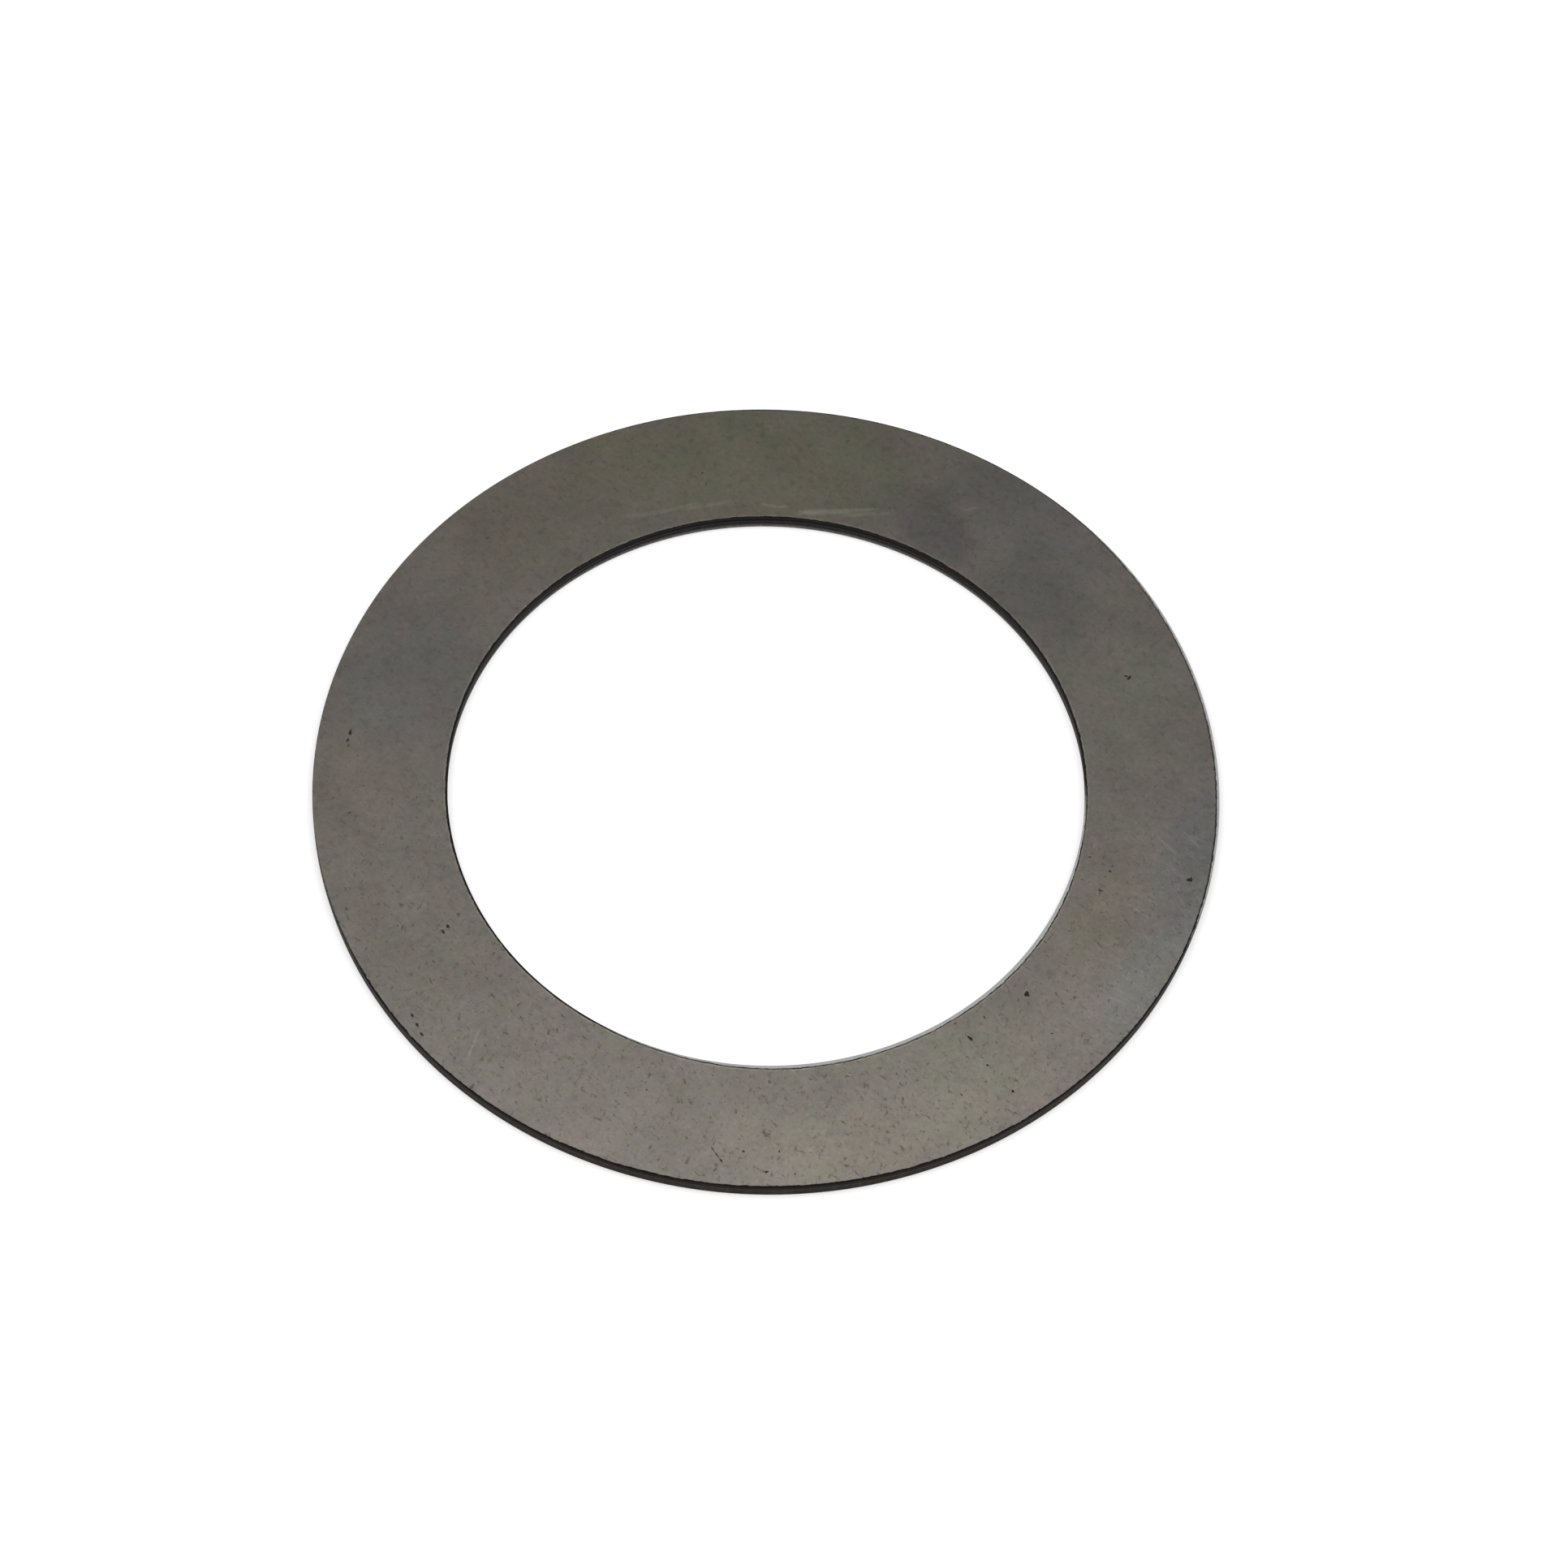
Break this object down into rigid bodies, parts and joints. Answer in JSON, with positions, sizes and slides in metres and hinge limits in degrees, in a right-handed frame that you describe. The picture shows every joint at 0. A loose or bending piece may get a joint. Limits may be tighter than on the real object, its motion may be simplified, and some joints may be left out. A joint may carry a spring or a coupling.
{
  "type": "adjusting washer",
  "caption": "Flat round steel shim ring with a wide bore and blanked walls, that takes up end play between parts on a shaft.",
  "frame": {"origin": "on the ring's axis, in the plane of the lower face", "axes": "+Z along the ring's axis, from the lower face to the upper face, which has the rolled edges"},
  "size_m": [0.04, 0.04, 0.0008],
  "materials": {
    "strip_steel": "satin rolled strip, tumbled and lightly oiled, with fine scratches and small pits"
  },
  "bodies": {
    "root": {"adjusting_washer": "strip_steel"}
  },
  "joints": []
}
